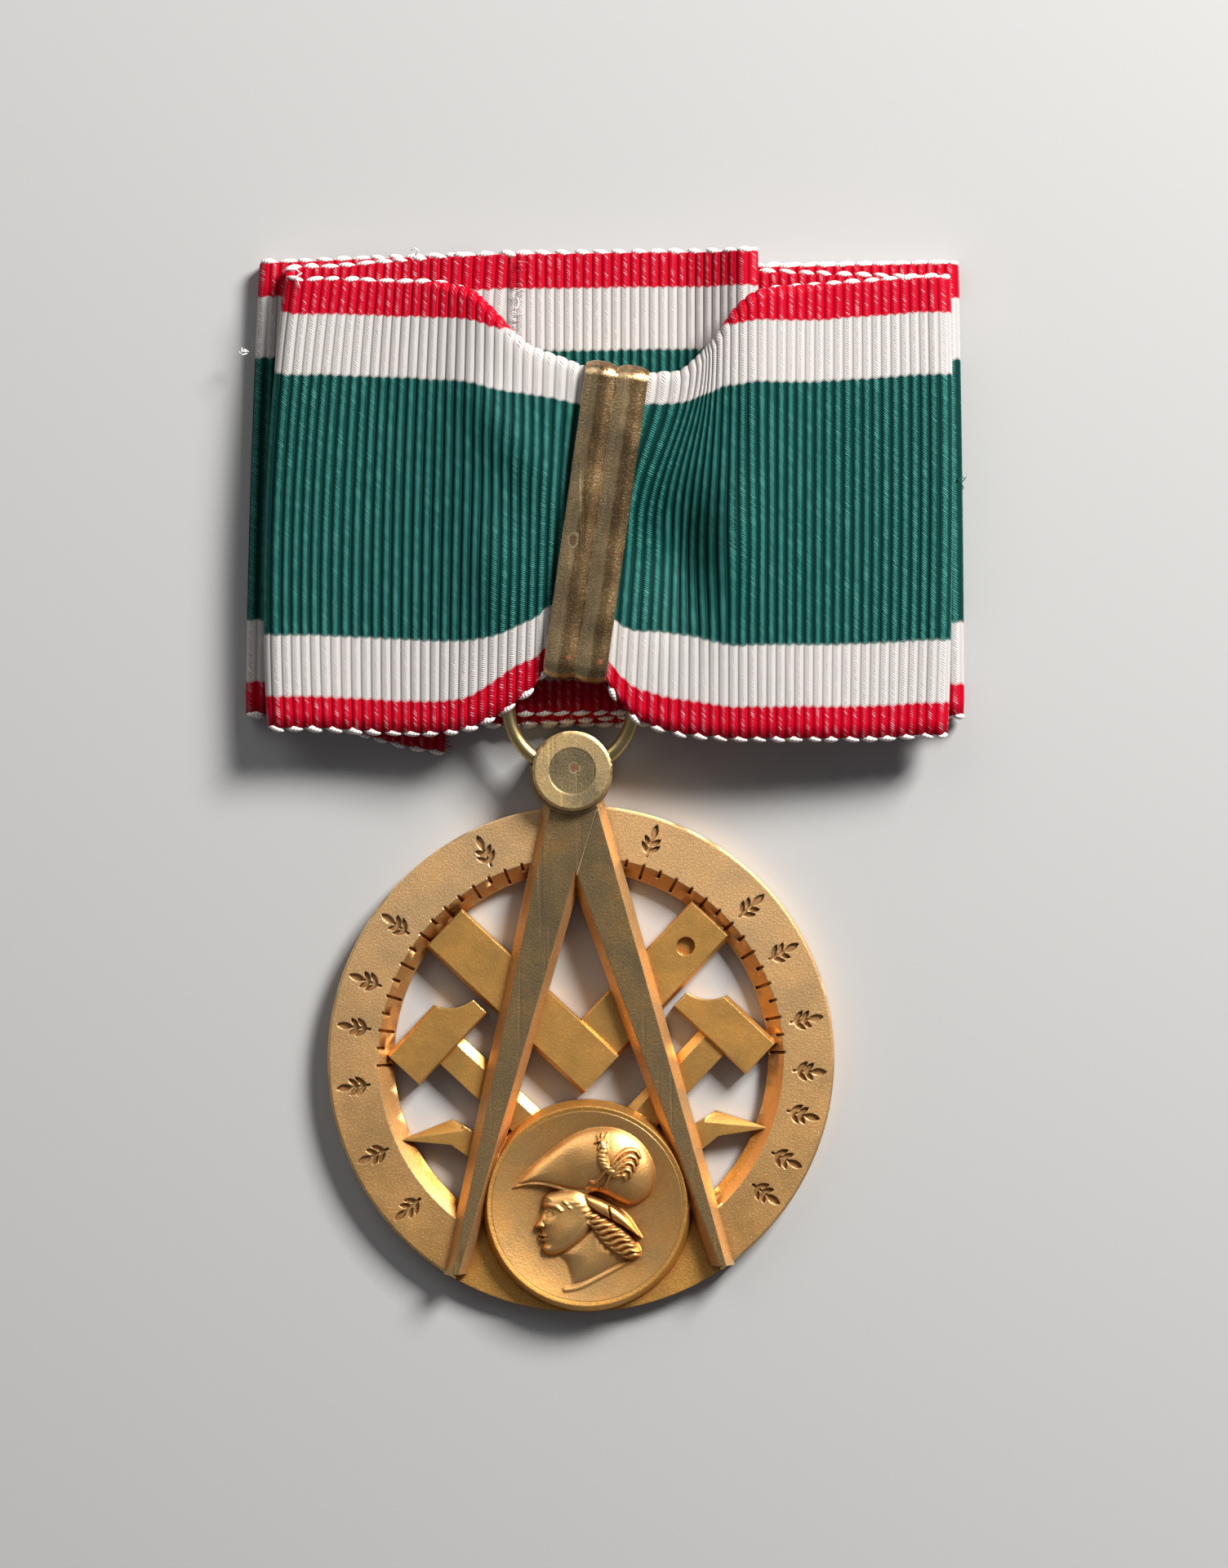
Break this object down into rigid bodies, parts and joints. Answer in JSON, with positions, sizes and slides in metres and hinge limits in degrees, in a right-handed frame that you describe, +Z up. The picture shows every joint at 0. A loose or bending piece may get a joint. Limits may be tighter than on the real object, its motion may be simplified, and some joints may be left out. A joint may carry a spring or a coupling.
{
  "type": "order neck badge",
  "caption": "Openwork round medal with compasses, square, hammers and a relief head, linked by a ring and a long loop to a folded striped ribbon.",
  "frame": {"origin": "middle of the whole badge's box, on the table it lies on", "axes": "+X to the right of the badge as it is read, +Y from the medal up to the ribbon, +Z up from the table through the medal's face"},
  "size_m": [0.0626, 0.0922, 0.0076],
  "materials": {
    "medal_gilt": "worn, oxidised gilt",
    "ring_gilt": "worn gilt",
    "loop_gilt": "dull, worn gilt",
    "ribbon_cloth": "ribbed silk weave, red, white and green stripes"
  },
  "bodies": {
    "root": {"medal": "medal_gilt", "link_ring": "ring_gilt", "suspension_loop": "loop_gilt", "ribbon": "ribbon_cloth"}
  },
  "joints": []
}
